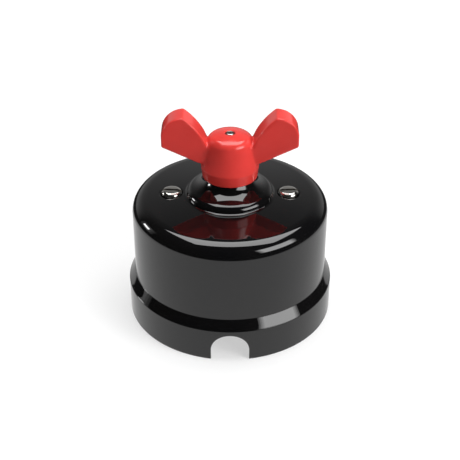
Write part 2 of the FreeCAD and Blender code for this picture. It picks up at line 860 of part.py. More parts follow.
def terminal_block():
    """Brass block on the foot of the jaw, with a hole for the wire and tapped for two screws."""
    low = base_thickness + sheet_thickness
    high = low + terminal_height
    half = terminal_size / 2
    corner = FreeCAD.Vector(terminal_inner, -half, low)
    block = Part.makeBox(terminal_size, terminal_size, terminal_height, corner)
    block = block.makeChamfer(terminal_chamfer, block.Edges)
    wire_z = low + wire_hole_lift
    wire_start = FreeCAD.Vector(terminal_radius, -half, wire_z)
    wire = Part.makeCylinder(wire_hole / 2, terminal_size, wire_start, AXIS_Y)
    clamp = rod(terminal_screw_thread / 2 + thread_clearance, wire_z, high, terminal_radius)
    grip_top = low + terminal_fixing_grip + thread_clearance
    grip = rod(terminal_fixing_thread / 2 + thread_clearance, low, grip_top, terminal_radius)
    return block.cut(wire).cut(clamp).cut(grip)


def terminal_screw():
    """Slotted clamping screw in the top of a terminal block, one turn open."""
    top = base_thickness + sheet_thickness + terminal_height
    reach = terminal_height - wire_hole_lift - wire_hole / 2 + terminal_screw_lift
    dome = 0.1 * terminal_screw_head_rise
    screw = slotted_screw(
        terminal_screw_head, terminal_screw_head_rise - dome, dome,
        terminal_screw_slot, terminal_screw_slot, terminal_screw_thread, reach,
    )
    return moved(screw, terminal_radius, 0, top + terminal_screw_lift)


def terminal_fixing_screw():
    """Screw from below through the base and the foot of the jaw into the terminal block."""
    length = base_thickness + sheet_thickness + terminal_fixing_grip - terminal_fixing_sink
    dome = 0.1 * terminal_fixing_head_rise
    screw = flipped(
        slotted_screw(
            terminal_fixing_head, terminal_fixing_head_rise - dome, dome,
            terminal_screw_slot, terminal_screw_slot, terminal_fixing_thread, length,
        )
    )
    return moved(screw, terminal_radius, 0, terminal_fixing_sink)


def index_spring(face):
    """Leaf spring across both lower pillars on the side that face gives, +1 for +Y."""
    low = spring_screw_z - index_spring_width / 2
    reach = pillar_x + index_spring_end
    near = pillar_across / 2 if face > 0 else -pillar_across / 2 - index_spring_thickness
    leaf = Part.makeBox(
        2 * reach, index_spring_thickness, index_spring_width, FreeCAD.Vector(-reach, near, low)
    )
    corners = [edge for edge in leaf.Edges if edge.BoundBox.DiagonalLength < 1.01 * index_spring_thickness]
    leaf = leaf.makeFillet(index_spring_width / 3, corners)
    hole_radius = spring_screw_thread / 2 + thread_clearance
    for side in pillar_sides:
        start = FreeCAD.Vector(side * pillar_x, near, spring_screw_z)
        leaf = leaf.cut(Part.makeCylinder(hole_radius, index_spring_thickness, start, AXIS_Y))
    return leaf


def spring_screws():
    """The four small screws that hold the index springs on the lower pillars."""
    dome = 0.1 * spring_screw_head_rise
    length = spring_screw_grip + index_spring_thickness
    screws = []
    for face in (-1, 1):
        screw = slotted_screw(
            spring_screw_head, spring_screw_head_rise - dome, dome,
            spring_screw_slot, spring_screw_slot, spring_screw_thread, length,
        )
        screw.rotate(CENTRE, AXIS_X, -90 * face)
        seat = face * (pillar_across / 2 + index_spring_thickness)
        for side in pillar_sides:
            screws.append(moved(screw, side * pillar_x, seat, spring_screw_z))
    return Part.makeCompound(screws)


def at_contact(shape, turn):
    """A piece made along +X, turned to the rear contact (0) or the front one (180)."""
    return moved(shape, 0, 0, 0, contact_angle + turn)


def both_contacts(shape):
    """The same fastener at the rear and the front contact."""
    return Part.makeCompound([at_contact(shape, 0), at_contact(shape, 180)])


def pieces():
    """Every piece of the switch by its node name."""
    return {
        "cover": cover(),
        "cover_screws": cover_screws(),
        "knob": knob(),
        "knob_insert": knob_insert(),
        "knob_screw": knob_screw(),
        "shaft": shaft(),
        "retaining_ring": retaining_ring(),
        "square_cam": square_cam(),
        "lower_drum": drum(lower_drum_z, blade_z, lower_drum_z),
        "contact_blade": contact_blade(),
        "upper_drum": drum(upper_drum_z, washer_z, washer_z),
        "thrust_washer": thrust_washer(),
        "bridge_bush": bridge_bush(),
        "bearing_bridge": bearing_bridge(),
        "upper_pillars": upper_pillars(),
        "lower_pillars": lower_pillars(),
        "base": base(),
        "base_bush": base_bush(),
        "base_screws": base_screws(),
        "contact_jaw_rear": at_contact(contact_jaw(), 0),
        "contact_jaw_front": at_contact(contact_jaw(), 180),
        "contact_spring_rear": at_contact(contact_spring(), 0),
        "contact_spring_front": at_contact(contact_spring(), 180),
        "jaw_rivets": both_contacts(jaw_rivet()),
        "terminal_block_rear": at_contact(terminal_block(), 0),
        "terminal_block_front": at_contact(terminal_block(), 180),
        "terminal_screws": both_contacts(terminal_screw()),
        "terminal_fixing_screws": both_contacts(terminal_fixing_screw()),
        "index_spring_rear": index_spring(1),
        "index_spring_front": index_spring(-1),
        "spring_screws": spring_screws(),
    }


os.makedirs("parts", exist_ok=True)
for name, shape in pieces().items():
    print(name, len(shape.Solids), "solids,", round(shape.Volume, 2), "mm3, valid", shape.isValid())
    shape.exportStep("parts/" + name + ".step")
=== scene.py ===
import json
import logging
import math
from collections.abc import Callable, Iterator
from contextlib import contextmanager
from dataclasses import dataclass
from enum import Enum
from functools import cache

import bmesh
import bpy
from mathutils import Matrix, Vector


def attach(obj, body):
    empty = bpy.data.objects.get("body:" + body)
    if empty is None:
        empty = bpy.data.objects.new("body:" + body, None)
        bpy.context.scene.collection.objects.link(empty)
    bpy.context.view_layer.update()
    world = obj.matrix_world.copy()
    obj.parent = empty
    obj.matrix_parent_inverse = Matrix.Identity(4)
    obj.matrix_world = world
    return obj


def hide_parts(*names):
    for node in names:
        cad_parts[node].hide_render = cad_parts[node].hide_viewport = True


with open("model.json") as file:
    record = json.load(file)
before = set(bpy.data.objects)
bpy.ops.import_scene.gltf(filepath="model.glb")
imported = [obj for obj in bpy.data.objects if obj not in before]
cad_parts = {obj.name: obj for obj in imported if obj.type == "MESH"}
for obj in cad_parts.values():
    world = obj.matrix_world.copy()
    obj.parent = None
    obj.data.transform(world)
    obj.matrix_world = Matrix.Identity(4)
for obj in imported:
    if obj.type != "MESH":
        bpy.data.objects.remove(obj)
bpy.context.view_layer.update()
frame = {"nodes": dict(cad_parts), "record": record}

logging.basicConfig(level=logging.INFO, format="%(levelname)s %(message)s")
log = logging.getLogger("rotary_switch")

# Pieces are worked in millimetres and brought to metres when they are finished.
MILLIMETRE = 0.001

Colour = tuple[float, float, float]
Place = tuple[float, float, float]
Span = tuple[float, float]
Key = str | int
Mesh = bmesh.types.BMesh
Material = bpy.types.Material
Node = bpy.types.Node
Thing = bpy.types.Object
Tree = bpy.types.NodeTree


class Body(Enum):
    """The bodies that pieces ride on."""

    HOUSING = "housing"
    ROTOR = "rotor"


class Slot(Enum):
    """The material slots of the part."""

    BLACK_PORCELAIN = "black_porcelain"
    WHITE_PORCELAIN = "white_porcelain"
    BRIGHT_NICKEL = "bright_nickel"
    RED_PLASTIC = "red_plastic"
    BRASS = "brass"
    SPRING_BRONZE = "spring_bronze"
    PLATED_STEEL = "plated_steel"
    SPRING_STEEL = "spring_steel"
    BROWN_INSULATOR = "brown_insulator"


class Sheet:
    """A node tree with short ways to add and link nodes."""

    def __init__(self, tree: Tree) -> None:
        """Takes the tree to draw on and empties it."""
        self.tree = tree
        tree.nodes.clear()

    def add(self, kind: str, values: dict[Key, object] | None = None, **settings: object) -> Node:
        """Adds a node.

        Args:
            kind: The type of shader node.
            values: Socket values by the socket's name or number.
            settings: Properties of the node itself.

        Returns:
            The new node.
        """
        node = self.tree.nodes.new(f"ShaderNode{kind}")
        for name, value in settings.items():
            setattr(node, name, value)
        for name, value in (values or {}).items():
            node.inputs[name].default_value = value
        return node

    def ramp(self, taken: Span, given: Span, kind: str) -> Node:
        """Adds a node that turns one span of values into another.

        Args:
            taken: The span of the values that come in.
            given: The span of the values that go out.
            kind: How it goes from one end to the other.

        Returns:
            The new node.
        """
        ends = {"From Min": taken[0], "From Max": taken[1], "To Min": given[0], "To Max": given[1]}
        return self.add("MapRange", ends, interpolation_type=kind)

    def link(self, source: Node, given: Key, target: Node, taken: Key) -> None:
        """Joins an output of one node to an input of another.

        Args:
            source: The node that gives.
            given: The name or number of its output.
            target: The node that takes.
            taken: The name or number of its input.
        """
        self.tree.links.new(source.outputs[given], target.inputs[taken])


def start_group(
    name: str, inputs: dict[str, str], outputs: dict[str, str]
) -> tuple[Sheet, Node, Node, Node]:
    """Starts a node group that materials share, with the nodes that every such group has.

    Args:
        name: The group's name.
        inputs: Kinds of socket by input name.
        outputs: Kinds of socket by output name.

    Returns:
        The sheet to draw on, the nodes of the inputs and outputs, and the coordinates.
    """
    tree = bpy.data.node_groups.new(name, "ShaderNodeTree")
    for side, wanted in (("INPUT", inputs), ("OUTPUT", outputs)):
        for socket, kind in wanted.items():
            tree.interface.new_socket(name=socket, in_out=side, socket_type=f"NodeSocket{kind}")
    sheet = Sheet(tree)
    given = tree.nodes.new("NodeGroupInput")
    result = tree.nodes.new("NodeGroupOutput")
    return sheet, given, result, sheet.add("TexCoord")


@cache
def smudged_sheen() -> Tree:
    """Makes the group for a roughness that drifts between two values, as on a handled surface."""
    sheet, given, result, place = start_group(
        "smudged_sheen", {"Scale": "Float", "Low": "Float", "High": "Float"}, {"Roughness": "Float"}
    )
    noise = sheet.add("TexNoise", {"Detail": 4.0, "Roughness": 0.6, "Distortion": 0.4})
    spread = sheet.ramp((0.35, 0.68), (0.0, 1.0), "LINEAR")
    sheet.link(place, "Object", noise, "Vector")
    sheet.link(given, "Scale", noise, "Scale")
    sheet.link(noise, "Fac", spread, "Value")
    sheet.link(given, "Low", spread, "To Min")
    sheet.link(given, "High", spread, "To Max")
    sheet.link(spread, "Result", result, "Roughness")
    return sheet.tree


@cache
def tint_drift() -> Tree:
    """Makes the group for a colour that drifts towards a second one in soft clouds."""
    sheet, given, result, place = start_group(
        "tint_drift", {"Colour": "Color", "Drift": "Color", "Scale": "Float"}, {"Colour": "Color"}
    )
    noise = sheet.add("TexNoise", {"Detail": 5.0, "Roughness": 0.55})
    spread = sheet.ramp((0.3, 0.7), (0.0, 1.0), "LINEAR")
    mix = sheet.add("Mix", data_type="RGBA")
    sheet.link(place, "Object", noise, "Vector")
    sheet.link(given, "Scale", noise, "Scale")
    sheet.link(noise, "Fac", spread, "Value")
    sheet.link(spread, "Result", mix, 0)
    sheet.link(given, "Colour", mix, 6)
    sheet.link(given, "Drift", mix, 7)
    sheet.link(mix, 2, result, "Colour")
    return sheet.tree


@cache
def fine_relief() -> Tree:
    """Makes the group for the height of a gently uneven surface, such as a glaze or a moulding."""
    sheet, given, result, place = start_group(
        "fine_relief", {"Scale": "Float", "Detail": "Float"}, {"Height": "Float"}
    )
    noise = sheet.add("TexNoise", {"Roughness": 0.45})
    sheet.link(place, "Object", noise, "Vector")
    sheet.link(given, "Scale", noise, "Scale")
    sheet.link(given, "Detail", noise, "Detail")
    sheet.link(noise, "Fac", result, "Height")
    return sheet.tree


@cache
def drawn_grain() -> Tree:
    """Makes the group for streaks along one direction, as on drawn, rolled or brushed metal."""
    sheet, given, result, place = start_group("drawn_grain", {"Stretch": "Vector"}, {"Height": "Float"})
    mapping = sheet.add("Mapping")
    noise = sheet.add("TexNoise", {"Scale": 1.0, "Detail": 6.0, "Roughness": 0.7})
    sheet.link(place, "Object", mapping, "Vector")
    sheet.link(given, "Stretch", mapping, "Scale")
    sheet.link(mapping, "Vector", noise, "Vector")
    sheet.link(noise, "Fac", result, "Height")
    return sheet.tree


@dataclass(frozen=True)
class Finish:
    """What every finish of the switch has: a colour that drifts, a sheen and a fine relief."""

    name: str
    colour: Colour
    drift: Colour
    drift_scale: float
    sheen: Span
    sheen_scale: float
    relief_depth: float
    relief_scale: float = 150.0
    relief_detail: float = 2.0
    ior: float = 1.5
    metallic: float = 0.0
    grain: Place | None = None

    def material(self) -> Material:
        """Makes the material of this finish.

        Returns:
            The new material.
        """
        made = bpy.data.materials.new(self.name)
        made.use_nodes = True
        made.diffuse_color = (*self.colour, 1.0)
        sheet = Sheet(made.node_tree)
        surface = sheet.add("BsdfPrincipled", {"IOR": self.ior, "Metallic": self.metallic})
        result = sheet.add("OutputMaterial")
        sheet.link(surface, "BSDF", result, "Surface")

        tint = sheet.add(
            "Group",
            {"Colour": (*self.colour, 1.0), "Drift": (*self.drift, 1.0), "Scale": self.drift_scale},
            node_tree=tint_drift(),
        )
        sheet.link(tint, "Colour", surface, "Base Color")

        sheen = sheet.add(
            "Group", {"Scale": self.sheen_scale, "Low": self.sheen[0], "High": self.sheen[1]},
            node_tree=smudged_sheen(),
        )
        sheet.link(sheen, "Roughness", surface, "Roughness")

        bump = sheet.add("Bump", {"Strength": 1.0, "Distance": self.relief_depth * MILLIMETRE})
        sheet.link(self.relief(sheet), "Height", bump, "Height")
        sheet.link(bump, "Normal", surface, "Normal")
        return made

    def relief(self, sheet: Sheet) -> Node:
        """Places the relief that suits the finish.

        Args:
            sheet: The material's node tree.

        Returns:
            The node that gives the height.
        """
        if self.grain is not None:
            return sheet.add("Group", {"Stretch": self.grain}, node_tree=drawn_grain())
        return sheet.add(
            "Group", {"Scale": self.relief_scale, "Detail": self.relief_detail}, node_tree=fine_relief()
        )


FINISHES: dict[Slot, Finish] = {
    Slot.BLACK_PORCELAIN: Finish(
        name="black_glaze", colour=(0.0025, 0.0025, 0.003), drift=(0.004, 0.0037, 0.0037), drift_scale=60.0,
        sheen=(0.025, 0.05), sheen_scale=90.0, relief_depth=0.004, ior=1.6,
    ),
    Slot.WHITE_PORCELAIN: Finish(
        name="white_glaze", colour=(0.80, 0.79, 0.75), drift=(0.74, 0.72, 0.66), drift_scale=80.0,
        sheen=(0.08, 0.22), sheen_scale=70.0, relief_scale=180.0, relief_depth=0.012,
    ),
    Slot.BRIGHT_NICKEL: Finish(
        name="bright_nickel", colour=(0.74, 0.72, 0.69), drift=(0.60, 0.58, 0.54), drift_scale=700.0,
        sheen=(0.06, 0.14), sheen_scale=900.0, relief_depth=0.004, metallic=1.0,
        grain=(400.0, 5000.0, 900.0),
    ),
    Slot.RED_PLASTIC: Finish(
        name="red_plastic", colour=(0.70, 0.050, 0.043), drift=(0.64, 0.043, 0.036), drift_scale=110.0,
        sheen=(0.12, 0.19), sheen_scale=160.0, relief_scale=900.0, relief_depth=0.003,
    ),
    Slot.BRASS: Finish(
        name="brass", colour=(0.78, 0.57, 0.25), drift=(0.52, 0.35, 0.14), drift_scale=260.0,
        sheen=(0.18, 0.38), sheen_scale=300.0, relief_depth=0.008, metallic=1.0,
        grain=(300.0, 300.0, 4000.0),
    ),
    Slot.SPRING_BRONZE: Finish(
        name="spring_bronze", colour=(0.72, 0.43, 0.22), drift=(0.48, 0.26, 0.13), drift_scale=260.0,
        sheen=(0.20, 0.40), sheen_scale=280.0, relief_depth=0.008, metallic=1.0,
        grain=(300.0, 300.0, 4000.0),
    ),
    Slot.PLATED_STEEL: Finish(
        name="plated_steel", colour=(0.62, 0.63, 0.64), drift=(0.50, 0.51, 0.50), drift_scale=320.0,
        sheen=(0.22, 0.42), sheen_scale=350.0, relief_depth=0.008, metallic=1.0,
        grain=(4000.0, 350.0, 350.0),
    ),
    Slot.SPRING_STEEL: Finish(
        name="spring_steel", colour=(0.42, 0.43, 0.46), drift=(0.26, 0.28, 0.36), drift_scale=300.0,
        sheen=(0.20, 0.35), sheen_scale=320.0, relief_depth=0.006, metallic=1.0,
        grain=(250.0, 250.0, 4500.0),
    ),
    Slot.BROWN_INSULATOR: Finish(
        name="brown_insulator", colour=(0.16, 0.075, 0.035), drift=(0.075, 0.034, 0.018), drift_scale=900.0,
        sheen=(0.32, 0.50), sheen_scale=400.0, relief_scale=1400.0, relief_depth=0.010,
    ),
}


class ProfilePen:
    """Draws an outline in the XZ plane of a bmesh, point after point, in millimetres."""

    def __init__(self, mesh: Mesh, x: float, z: float) -> None:
        """Sets the pen down.

        Args:
            mesh: The bmesh to draw in.
            x: Where the outline starts, across.
            z: Where the outline starts, up.
        """
        self.mesh = mesh
        self.first = mesh.verts.new((x, 0.0, z))
        self.tip = self.first

    def line(self, x: float, z: float, runs: int = 1) -> None:
        """Draws a straight line from the tip.

        Args:
            x: Where it ends, across.
            z: Where it ends, up.
            runs: The number of edges it is divided into.
        """
        start = self.tip.co.copy()
        end = Vector((x, 0.0, z))
        for run in range(1, runs + 1):
            grown = bmesh.ops.extrude_vert_indiv(self.mesh, verts=[self.tip])
            self.tip = grown["verts"][0]
            self.tip.co = start.lerp(end, run / runs)

    def arc(self, centre: Span | Vector, sweep: float, steps: int) -> None:
        """Draws an arc from the tip.

        Args:
            centre: The x and z of its centre.
            sweep: Degrees turned, from +X towards +Z.
            steps: The number of edges.
        """
        spun = bmesh.ops.spin(
            self.mesh, geom=[self.tip], cent=(centre[0], 0.0, centre[1]), axis=(0.0, -1.0, 0.0),
            angle=math.radians(sweep), steps=steps,
        )
        self.tip = next(item for item in spun["geom_last"] if isinstance(item, bmesh.types.BMVert))

    def bow(self, x: float, z: float, rise: float, steps: int) -> None:
        """Draws an arc to a point.

        Args:
            x: Where it ends, across.
            z: Where it ends, up.
            rise: How far it bows out to the left of the way, or to the right if negative.
            steps: The number of edges.
        """
        start = Vector((self.tip.co.x, self.tip.co.z))
        way = Vector((x, z)) - start
        left = Vector((-way.y, way.x)).normalized()
        radius = (way.length_squared / 4 + rise * rise) / (2 * rise)
        centre = start + way / 2 + left * (rise - radius)
        self.arc(centre, -math.degrees(4 * math.atan(2 * rise / way.length)), steps)

    def close(self) -> None:
        """Joins the tip to the start."""
        self.mesh.edges.new((self.tip, self.first))


class Workpiece:
    """A piece on the bench: its mesh is worked in millimetres and finished in metres."""

    MERGE = 1e-4
    SMOOTHING = {"factor": 0.5, "use_axis_x": True, "use_axis_y": True, "use_axis_z": True}

    def __init__(self, name: str, mesh: Mesh) -> None:
        """Takes a bmesh over into a Blender object.

        Args:
            name: The piece's name.
            mesh: Its bmesh in millimetres, which is used up.
        """
        data = bpy.data.meshes.new(name)
        mesh.to_mesh(data)
        mesh.free()
        self.thing = bpy.data.objects.new(name, data)
        bpy.context.scene.collection.objects.link(self.thing)

    @classmethod
    def turn(cls, mesh: Mesh, segments: int) -> None:
        """Turns the drawn outline about the Z axis into a closed skin.

        Args:
            mesh: The bmesh that holds the outline and nothing else.
            segments: Steps round the axis.
        """
        bmesh.ops.spin(
            mesh, geom=list(mesh.verts) + list(mesh.edges), cent=(0.0, 0.0, 0.0), axis=(0.0, 0.0, 1.0),
            angle=math.tau, steps=segments, use_merge=True,
        )
        cls.tidy(mesh)

    @classmethod
    def tidy(cls, mesh: Mesh) -> None:
        """Merges doubles and turns the faces outwards."""
        bmesh.ops.remove_doubles(mesh, verts=mesh.verts, dist=cls.MERGE)
        bmesh.ops.recalc_face_normals(mesh, faces=mesh.faces)

    @contextmanager
    def opened(self) -> Iterator[Mesh]:
        """Opens the piece's mesh as a bmesh and writes it back at the end.

        Yields:
            The bmesh.
        """
        mesh = bmesh.new()
        mesh.from_mesh(self.thing.data)
        yield mesh
        mesh.to_mesh(self.thing.data)
        mesh.free()

    def discard(self) -> None:
        """Takes a used-up piece away."""
        spent = self.thing.data
        bpy.data.objects.remove(self.thing)
        bpy.data.meshes.remove(spent)

    def settle(self) -> None:
        """Applies the piece's modifiers to its mesh."""
        graph = bpy.context.evaluated_depsgraph_get()
        worked = bpy.data.meshes.new_from_object(self.thing.evaluated_get(graph))
        old = self.thing.data
        worked.name = self.thing.name
        self.thing.modifiers.clear()
        self.thing.data = worked
        bpy.data.meshes.remove(old)

    def cut(self, cutter: "Workpiece") -> None:
        """Takes the shape of another workpiece out of this one, and uses it up.

        Args:
            cutter: The workpiece to take out.
        """
        modifier = self.thing.modifiers.new("cut", "BOOLEAN")
        modifier.operation = "DIFFERENCE"
        modifier.solver = "EXACT"
        modifier.object = cutter.thing
        self.settle()
        cutter.discard()

    def weld(self, gap: float) -> None:
        """Joins points that cuts left closer than a gap and drops the slivers between them.

        Args:
            gap: The gap in millimetres.
        """
        with self.opened() as mesh:
            bmesh.ops.remove_doubles(mesh, verts=mesh.verts, dist=gap)
            bmesh.ops.dissolve_degenerate(mesh, dist=gap, edges=mesh.edges)

    def fuse(self, voxel: float) -> None:
        """Melts overlapping shells into one skin.

        Args:
            voxel: The grain of the new skin in millimetres.
        """
        modifier = self.thing.modifiers.new("fuse", "REMESH")
        modifier.mode = "VOXEL"
        modifier.voxel_size = voxel
        self.settle()
        with self.opened() as mesh:
            bmesh.ops.recalc_face_normals(mesh, faces=mesh.faces)

    def soften(self, distance: Callable[[Vector], float], reach: float, rounds: int) -> None:
        """Smooths the skin, or a part of it.

        Args:
            distance: Tells how far a point is from what is softened.
            reach: Points nearer than this are smoothed.
            rounds: Rounds of smoothing.
        """
        with self.opened() as mesh:
            near = [vertex for vertex in mesh.verts if distance(vertex.co) < reach]
            for _ in range(rounds):
                bmesh.ops.smooth_vert(mesh, verts=near, **self.SMOOTHING)

    def finish(self, crease: float, material: Material) -> Thing:
        """Brings the piece to metres, smooths its shading and dresses it.

        Args:
            crease: Edges sharper than this many degrees stay crisp.
            material: What it is made of.

        Returns:
            The finished object.
        """
        data = self.thing.data
        data.transform(Matrix.Scale(MILLIMETRE, 4))
        data.shade_smooth()
        data.set_sharp_from_angle(angle=math.radians(crease))
        data.materials.clear()
        data.materials.append(material)
        return self.thing


def place_piece(piece: Thing, body: Body, node: str) -> None:
    """Puts a finished piece in the place of a CAD node.

    Args:
        piece: The finished object.
        body: The body it rides on.
        node: The CAD node it stands for.
    """
    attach(piece, body.value)
    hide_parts(node)
    log.info("%s: %d faces, for %s", piece.name, len(piece.data.polygons), node)


@dataclass
class PorcelainCover:
    """The black glazed cover: flange, body, shoulder and turned collar, with notch and screw seats."""

    flange_radius: float = 35.0
    flange_height: float = 11.6
    flange_edge: float = 0.5
    foot_edge: float = 0.25
    chamfer_rise: float = 3.25
    glaze_pool: float = 0.2
    body_radius: float = 32.8
    body_height: float = 42.45
    shoulder_radius: float = 4.8
    wall: float = 4.0
    roof: float = 5.0
    inner_fillet: float = 4.0
    hollow_radius: float = 8.0
    hollow_rise: float = 3.5
    shoulder_slope: float = 12.0
    easing_radius: float = 12.0
    crown_slope: float = 4.7
    crown_radius: float = 430.0
    collar_foot: float = 15.35
    flare_radius: float = 1.6
    flare_end_angle: float = 57.0
    bead_radius: float = 2.5
    bead_foot_angle: float = 2.0
    bead_crown_angle: float = 77.0
    ogee_radius: float = 9.5
    ogee_end_angle: float = 56.0
    cove_radius: float = 5.0
    neck_rise: float = 7.35
    neck_bore: float = 3.4
    notch_width: float = 12.5
    notch_height: float = 9.7
    notch_edge: float = 0.5
    rim_steps: tuple[float, ...] = (20.0, 40.0, 60.0, 78.0)
    seat_x: float = 19.5
    seat_radius: float = 3.8
    seat_depth: float = 0.9
    seat_edge: float = 0.2
    screw_hole: float = 2.25
    sliver: float = 0.01
    inner_rings: Span = (12.0, 1.0)
    segments: int = 288
    seat_segments: int = 96
    crease: float = 32.0

    def build(self, material: Material) -> Thing:
        """Models the cover.

        Args:
            material: The black glaze.

        Returns:
            The finished cover.
        """
        mesh = bmesh.new()
        self.draw_outline(mesh)
        Workpiece.turn(mesh, self.segments)
        piece = Workpiece("porcelain_cover", mesh)
        piece.cut(self.notch_cutter())
        for side in (-1, 1):
            piece.cut(self.seat_cutter(side * self.seat_x))
        piece.weld(self.sliver)
        cover = piece.finish(self.crease, material)
        even = cover.modifiers.new("even_normals", "WEIGHTED_NORMAL")
        even.keep_sharp = True
        return cover

    def draw_outline(self, mesh: Mesh) -> None:
        """Draws the outside from the foot to the neck, then the inside back down.

        Args:
            mesh: The bmesh to draw in.
        """
        inner = self.body_radius - self.wall
        roof_under = self.body_height - self.roof
        pen = ProfilePen(mesh, inner, 0.0)
        pen.line(self.flange_radius - self.foot_edge, 0.0, 3)
        pen.arc((self.flange_radius - self.foot_edge, self.foot_edge), 90.0, 4)
        self.draw_flange(pen)
        shoulder_z = self.body_height - self.shoulder_radius
        pen.line(self.body_radius, shoulder_z, 14)
        pen.arc((self.body_radius - self.shoulder_radius, shoulder_z), 90.0 - self.shoulder_slope, 28)
        self.draw_collar(pen)
        pen.line(self.neck_bore, self.body_height + self.neck_rise, 3)
        pen.line(self.neck_bore, roof_under + self.hollow_rise, 3)
        pen.line(self.hollow_radius, roof_under + self.hollow_rise, 2)
        pen.line(self.hollow_radius, roof_under)
        pen.line(inner - self.inner_fillet, roof_under, 6)
        pen.arc((inner - self.inner_fillet, roof_under - self.inner_fillet), -90.0, 10)
        pen.line(inner, self.inner_rings[0], 4)
        pen.line(inner, self.inner_rings[1], 9)
        pen.close()

    def draw_flange(self, pen: ProfilePen) -> None:
        """Draws the flange's side, its rounded edge, the chamfer and the glaze pooled above it.

        Args:
            pen: The pen at the flange's foot.
        """
        fall = self.flange_radius - self.body_radius
        lean = math.atan2(fall, self.chamfer_rise)
        turn = math.pi / 2 - lean
        drop = self.flange_edge * math.tan(turn / 2)
        pen.line(self.flange_radius, self.flange_height - drop, 11)
        pen.arc((self.flange_radius - self.flange_edge, self.flange_height - drop), math.degrees(turn), 6)
        chamfer_top = self.flange_height + self.chamfer_rise
        pool_back = self.glaze_pool * math.tan(turn / 2)
        along = Vector((-fall, self.chamfer_rise)).normalized()
        pen.line(self.body_radius - along.x * pool_back, chamfer_top - along.y * pool_back, 3)
        pen.arc((self.body_radius + self.glaze_pool, chamfer_top + pool_back), -math.degrees(turn), 6)

    def draw_collar(self, pen: ProfilePen) -> None:
        """Draws the eased and crowned top, then the collar: flared foot, bead and ogee up to the neck.

        Args:
            pen: The pen at the end of the shoulder.
        """
        easing, crown = self.top_centres()
        foot_angle = math.degrees(math.acos((self.collar_foot - crown.x) / self.crown_radius))
        flare = crown + self.spoke(foot_angle, self.crown_radius + self.flare_radius)
        pen.arc(easing, self.shoulder_slope - self.crown_slope, 10)
        pen.arc(crown, foot_angle - 90.0 + self.crown_slope, 14)
        pen.arc(flare, self.flare_end_angle - foot_angle, 10)
        bead = Vector((pen.tip.co.x, pen.tip.co.z)) - self.spoke(self.bead_foot_angle, self.bead_radius)
        ogee = bead + self.spoke(self.bead_crown_angle, self.bead_radius + self.ogee_radius)
        cove = ogee - self.spoke(self.ogee_end_angle, self.ogee_radius - self.cove_radius)
        neck_top = self.body_height + self.neck_rise
        cove_end = math.degrees(math.asin((cove.y - neck_top) / self.cove_radius))
        pen.arc(bead, self.bead_crown_angle - self.bead_foot_angle, 24)
        pen.arc(ogee, self.ogee_end_angle - self.bead_crown_angle, 16)
        pen.arc(cove, cove_end - self.ogee_end_angle, 14)

    def top_centres(self) -> tuple[Vector, Vector]:
        """Finds the centres of the two arcs that lead from the shoulder over the top.

        Returns:
            The centres of the easing arc and of the crown in the XZ plane.
        """
        inset = self.shoulder_radius
        shoulder = Vector((self.body_radius - inset, self.body_height - inset))
        easing = shoulder - self.spoke(90.0 - self.shoulder_slope, self.easing_radius - inset)
        crown = easing - self.spoke(90.0 - self.crown_slope, self.crown_radius - self.easing_radius)
        return easing, crown

    @staticmethod
    def spoke(degrees: float, length: float) -> Vector:
        """Gives the way from a circle's centre outwards.

        Args:
            degrees: The angle from +X towards +Z.
            length: How far.

        Returns:
            The way in the XZ plane.
        """
        angle = math.radians(degrees)
        return Vector((length * math.cos(angle), length * math.sin(angle)))

    def notch_cutter(self) -> Workpiece:
        """Makes the round-topped bar that cuts the cable notch, flared where it leaves the flange.

        Returns:
            The cutter.
        """
        half = self.notch_width / 2
        crown_z = self.notch_height - half
        below = -1.0
        mesh = bmesh.new()
        pen = ProfilePen(mesh, half, below)
        pen.line(half, crown_z, 6)
        pen.arc((0.0, crown_z), 180.0, 32)
        pen.line(-half, below, 6)
        pen.close()
        bmesh.ops.translate(mesh, verts=mesh.verts, vec=(0.0, -0.5 * self.body_radius, 0.0))
        loop = list(mesh.edges)
        stations = [(0.0, self.notch_edge)]
        for degrees in self.rim_steps:
            angle = math.radians(degrees)
            spread = self.notch_edge * (1 - math.cos(angle))
            stations.append((spread, self.notch_edge * (1 - math.sin(angle))))
        beyond = 4 * self.notch_edge
        fall = beyond / math.tan(math.radians(self.rim_steps[-1]))
        stations.append((stations[-1][0] + beyond, stations[-1][1] - fall))
        grown = 0.0
        for spread, depth in stations:
            extruded = bmesh.ops.extrude_edge_only(mesh, edges=loop)["geom"]
            loop = [item for item in extruded if isinstance(item, bmesh.types.BMEdge)]
            scale = (half + spread) / (half + grown)
            grown = spread
            for vertex in (item for item in extruded if isinstance(item, bmesh.types.BMVert)):
                vertex.co.x *= scale
                if vertex.co.z > crown_z:
                    vertex.co.z = crown_z + (vertex.co.z - crown_z) * scale
                vertex.co.y = depth - math.sqrt(self.flange_radius ** 2 - vertex.co.x ** 2)
        last = bmesh.ops.extrude_edge_only(mesh, edges=loop)["geom"]
        for vertex in (item for item in last if isinstance(item, bmesh.types.BMVert)):
            vertex.co.y = -1.2 * self.flange_radius
        bmesh.ops.holes_fill(mesh, edges=mesh.edges)
        Workpiece.tidy(mesh)
        return Workpiece("notch_cutter", mesh)

